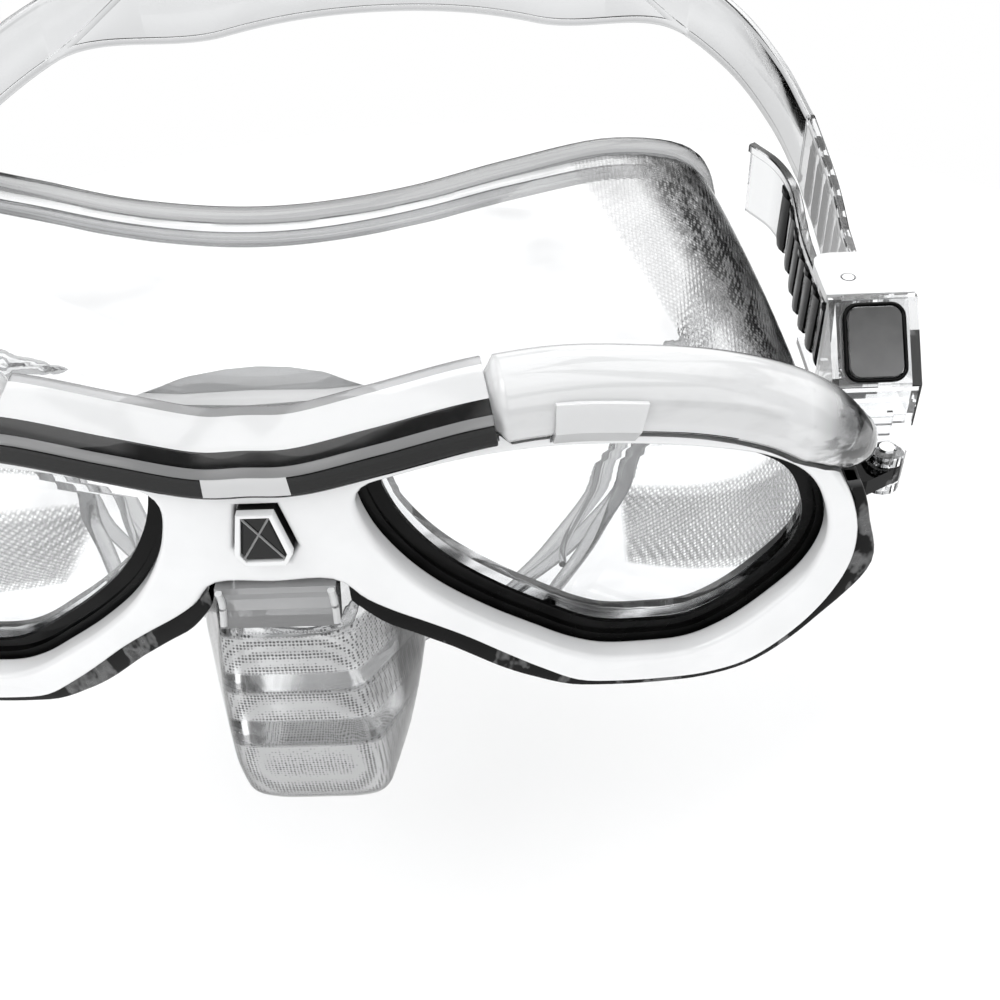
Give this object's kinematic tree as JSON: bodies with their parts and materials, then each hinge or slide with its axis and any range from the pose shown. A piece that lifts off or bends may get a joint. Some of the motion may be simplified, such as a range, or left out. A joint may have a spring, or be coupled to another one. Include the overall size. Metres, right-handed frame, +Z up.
{
  "type": "diving mask",
  "caption": "Low-volume twin-lens diving mask: silicone skirt with nose pocket, clear brow rail, white bezel and a ribbed strap on swivelling push-button buckles.",
  "frame": {"origin": "centre of the plane of the face seal at its rearmost rim, midway between the two sides", "axes": "+Y from the lenses towards the wearer's face and the strap, +Z up, +X to the wearer's left"},
  "size_m": [0.1872, 0.2001, 0.0927],
  "materials": {
    "silicone": "clear silicone, glossy with stippled bands",
    "clear_plastic": "crystal clear, polished",
    "white_plastic": "white gloss",
    "black_rubber": "black, glossy",
    "lens_glass": "clear polished",
    "grey_plastic": "dark grey satin",
    "steel": "bright",
    "strap_silicone": "clear silicone, ribbed"
  },
  "bodies": {
    "mask": {"skirt_front": "silicone", "skirt_nose_pocket": "silicone", "skirt_brow": "silicone", "frame_chassis": "clear_plastic", "front_bezel": "white_plastic", "brow_rail": "clear_plastic", "brow_centre_cap": "clear_plastic", "bridge_latch": "clear_plastic", "bridge_tongue": "clear_plastic", "strap_rear": "strap_silicone", "skirt_temple_left": "silicone", "skirt_cheek_left": "silicone", "rail_clip_left": "clear_plastic", "lens_left": "lens_glass", "lens_gasket_left": "black_rubber", "swivel_pin_left": "steel", "strap_side_left": "strap_silicone", "skirt_temple_right": "silicone", "skirt_cheek_right": "silicone", "rail_clip_right": "clear_plastic", "lens_right": "lens_glass", "lens_gasket_right": "black_rubber", "swivel_pin_right": "steel", "strap_side_right": "strap_silicone"},
    "buckle_left": {"buckle_body_left": "clear_plastic", "buckle_cover_left": "clear_plastic", "button_spring_left": "steel", "pawl_pin_left": "steel", "roller_axle_left": "steel", "strap_end_left": "strap_silicone"},
    "button_left": {"release_button_left": "grey_plastic"},
    "pawl_left": {"locking_pawl_left": "grey_plastic"},
    "roller_left": {"strap_roller_left": "clear_plastic"},
    "buckle_right": {"buckle_body_right": "clear_plastic", "buckle_cover_right": "clear_plastic", "button_spring_right": "steel", "pawl_pin_right": "steel", "roller_axle_right": "steel", "strap_end_right": "strap_silicone"},
    "button_right": {"release_button_right": "grey_plastic"},
    "pawl_right": {"locking_pawl_right": "grey_plastic"},
    "roller_right": {"strap_roller_right": "clear_plastic"}
  },
  "joints": [
    {"name": "buckle_swivel_left", "type": "hinge", "parent": "mask", "child": "buckle_left", "pos_m": [0.085, -0.0432, -0.0047], "axis": [0, 0, -1], "range_deg": [-5, 18], "deforming": ["strap_side_left"]},
    {"name": "button_press_left", "type": "slide", "parent": "buckle_left", "child": "button_left", "axis": [0, 0.7071, -0.7071], "range_m": [0, 0.0014], "stiffness_N_per_m": 300, "springref_m": -0.0004, "deforming": ["button_spring_left"]},
    {"name": "pawl_release_left", "type": "hinge", "parent": "buckle_left", "child": "pawl_left", "pos_m": [0.0907, -0.0155, -0.0032], "axis": [0, 0, -1], "range_deg": [0, 14]},
    {"name": "roller_spin_left", "type": "hinge", "parent": "buckle_left", "child": "roller_left", "pos_m": [0.0846, -0.0136, 0], "axis": [0, 0, 1], "continuous": true},
    {"name": "buckle_swivel_right", "type": "hinge", "parent": "mask", "child": "buckle_right", "pos_m": [-0.085, -0.0432, -0.0047], "axis": [0, 0, 1], "range_deg": [-5, 18], "deforming": ["strap_side_right"]},
    {"name": "button_press_right", "type": "slide", "parent": "buckle_right", "child": "button_right", "axis": [0, 0.7071, -0.7071], "range_m": [0, 0.0014], "stiffness_N_per_m": 300, "springref_m": -0.0004, "deforming": ["button_spring_right"]},
    {"name": "pawl_release_right", "type": "hinge", "parent": "buckle_right", "child": "pawl_right", "pos_m": [-0.0907, -0.0155, -0.0032], "axis": [0, 0, 1], "range_deg": [0, 14]},
    {"name": "roller_spin_right", "type": "hinge", "parent": "buckle_right", "child": "roller_right", "pos_m": [-0.0846, -0.0136, 0], "axis": [0, 0, 1], "continuous": true}
  ],
  "couplings": [
    {"joint": "pawl_release_left", "follows": "button_press_left", "rad_per_m": 172},
    {"joint": "pawl_release_right", "follows": "button_press_right", "rad_per_m": 172}
  ]
}
